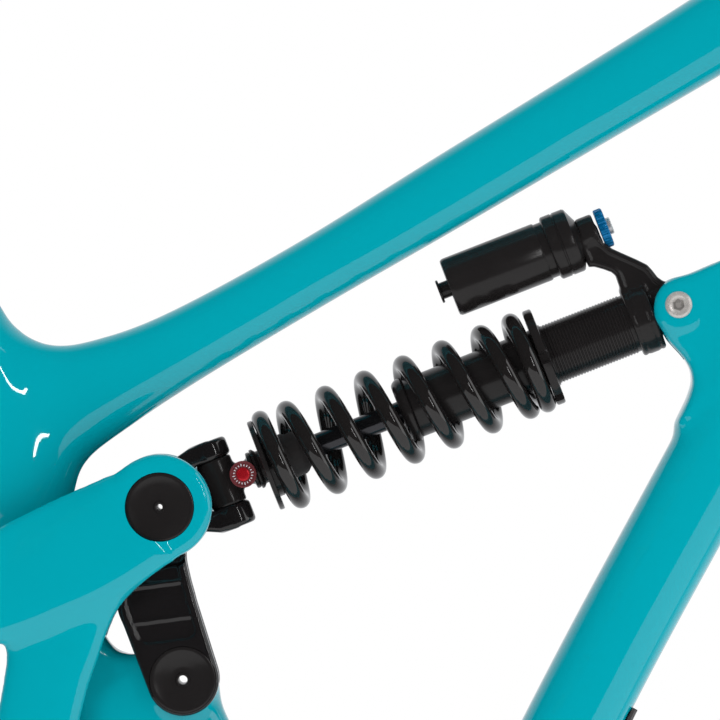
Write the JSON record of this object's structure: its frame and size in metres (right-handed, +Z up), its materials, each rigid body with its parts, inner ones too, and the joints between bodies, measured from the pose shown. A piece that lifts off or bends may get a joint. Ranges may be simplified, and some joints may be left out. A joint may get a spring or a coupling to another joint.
{
  "type": "bicycle frame",
  "caption": "Full-suspension bicycle frame with rocker link, one-piece swingarm, sliding lower pivot and a coil-over shock with reservoir.",
  "frame": {"origin": "centre of the bottom-bracket shell", "axes": "+X forward, +Y to the rider's left along the bottom-bracket axis, +Z up"},
  "size_m": [0.9515, 0.1716, 0.6357],
  "materials": {
    "frame_paint": "deep gloss clear coat over moulded carbon",
    "gloss_black": "gloss black",
    "satin_black": "satin black anodised",
    "stainless": "turned and polished",
    "dark_chrome": "black hard coat, polished",
    "machined_alloy": "fine turned",
    "black_rubber": "moulded, matt",
    "spring_enamel": "semi-gloss enamel",
    "blue_anodised": "blue anodised, satin",
    "red_anodised": "red anodised, satin"
  },
  "bodies": {
    "main_frame": {"head_tube": "frame_paint", "top_tube": "frame_paint", "down_tube": "frame_paint", "seat_tube": "frame_paint", "seat_mast": "frame_paint", "bb_shell": "frame_paint", "shock_mount": "frame_paint", "seat_collar": "gloss_black", "seat_collar_bolt": "stainless", "bottle_inserts": "machined_alloy", "down_tube_guard": "black_rubber", "cable_ports": "gloss_black", "carrier_rails": "machined_alloy", "rail_brackets": "gloss_black", "bracket_bolts": "stainless", "lower_pivot_axle": "stainless", "shock_bolt": "stainless"},
    "rocker": {"rocker_link": "gloss_black", "rocker_bearings": "stainless", "rocker_caps": "gloss_black"},
    "swingarm": {"upper_pivot_axle": "stainless", "upper_pivot_caps": "gloss_black", "boss_right": "frame_paint", "boss_left": "frame_paint", "seatstay_right": "frame_paint", "seatstay_left": "frame_paint", "strut_right": "frame_paint", "strut_left": "frame_paint", "chainstay_right": "frame_paint", "chainstay_left": "frame_paint", "yoke": "frame_paint", "yoke_caps": "gloss_black", "dropout_right": "frame_paint", "dropout_left": "frame_paint", "derailleur_hanger": "gloss_black", "hanger_bolt": "stainless", "brake_mount": "frame_paint", "chainstay_guard": "black_rubber"},
    "carrier": {"carrier_block": "gloss_black", "carrier_axle": "stainless"},
    "damper": {"damper_body": "satin_black", "damper_head": "satin_black", "reservoir": "satin_black", "reservoir_collar": "satin_black", "reservoir_piston": "machined_alloy", "valve_cap": "satin_black", "eyelet_bush": "machined_alloy", "seal_head": "satin_black", "coil_spring": "spring_enamel"},
    "preload_ring": {"preload_collar": "satin_black"},
    "compression_dial": {"compression_knob": "blue_anodised"},
    "shaft": {"damper_shaft": "dark_chrome", "damper_piston": "machined_alloy", "bump_stop": "black_rubber", "shaft_end": "satin_black", "spring_seat": "satin_black", "extender": "gloss_black", "extender_bolt": "stainless"},
    "rebound_dial": {"rebound_knob": "red_anodised"}
  },
  "joints": [
    {"name": "rocker_swing", "type": "hinge", "parent": "main_frame", "child": "rocker", "pos_m": [-0.057, 0, 0.2265], "axis": [0, 1, 0], "range_deg": [0, 35], "stiffness_Nm_per_rad": 30},
    {"name": "swingarm_pivot", "type": "hinge", "parent": "rocker", "child": "swingarm", "pos_m": [-0.05019, 0, 0.31504], "axis": [0, 1, 0], "range_deg": [-22.5, 0]},
    {"name": "carrier_slide", "type": "slide", "parent": "main_frame", "child": "carrier", "axis": [0, 0, 1], "range_m": [-0.012, 0]},
    {"name": "damper_pivot", "type": "hinge", "parent": "main_frame", "child": "damper", "pos_m": [0.22941, 0, 0.36067], "axis": [0, 1, 0], "range_deg": [-6.7, 0]},
    {"name": "shaft_slide", "type": "slide", "parent": "damper", "child": "shaft", "axis": [0.9869, 0, 0.1611], "range_m": [0, 0.0442], "deforming": ["coil_spring"]},
    {"name": "preload_turn", "type": "hinge", "parent": "damper", "child": "preload_ring", "pos_m": [0.15707, 0, 0.34887], "axis": [0.9869, 0, 0.1611], "continuous": true},
    {"name": "compression_turn", "type": "hinge", "parent": "damper", "child": "compression_dial", "pos_m": [0.20029, 0, 0.40689], "axis": [0.9869, 0, 0.1611], "range_deg": [0, 300]},
    {"name": "rebound_turn", "type": "hinge", "parent": "shaft", "child": "rebound_dial", "pos_m": [-0.00548, -0.0125, 0.32234], "axis": [0, -1, 0], "range_deg": [0, 300]}
  ],
  "couplings": [
    {"joint": "swingarm_pivot", "follows": "rocker_swing", "ratio": -0.63119},
    {"joint": "carrier_slide", "follows": "rocker_swing", "m_per_rad": -0.019428},
    {"joint": "damper_pivot", "follows": "rocker_swing", "ratio": -0.18959},
    {"joint": "shaft_slide", "follows": "rocker_swing", "m_per_rad": 0.072181}
  ]
}
